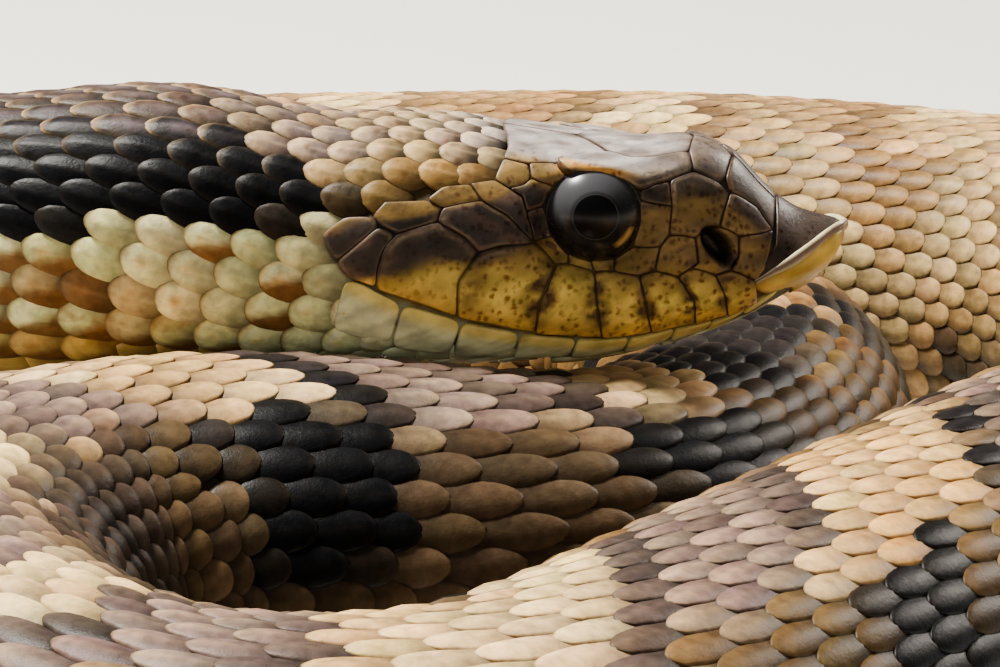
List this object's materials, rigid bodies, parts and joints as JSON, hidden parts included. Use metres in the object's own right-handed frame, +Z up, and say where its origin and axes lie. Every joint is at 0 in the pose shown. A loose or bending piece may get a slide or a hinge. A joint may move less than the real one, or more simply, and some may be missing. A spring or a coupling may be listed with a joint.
{
  "type": "coiled snake",
  "caption": "Life-size hognose snake lying coiled on the floor, head resting on its own coils, mouth closed, snout upturned.",
  "frame": {"origin": "on the floor, under the middle of the model's box", "axes": "+X the way the head faces, +Y towards the snake's left side, +Z up"},
  "size_m": [0.164, 0.1534, 0.0368],
  "materials": {
    "body_scales": "satin, dry keeled scales in tan, brown and black",
    "head_scales": "satin, smooth plates in yellow ochre and grey brown",
    "jaw_scales": "satin, pale cream",
    "eye": "wet gloss"
  },
  "bodies": {
    "root": {"head": "head_scales", "lower_jaw": "jaw_scales", "eye_right": "eye", "eye_left": "eye", "neck": "body_scales", "trunk_1": "body_scales", "trunk_2": "body_scales", "trunk_3": "body_scales", "trunk_4": "body_scales", "trunk_5": "body_scales", "trunk_6": "body_scales", "trunk_7": "body_scales", "tail_base": "body_scales", "tail_tip": "body_scales"}
  },
  "joints": []
}
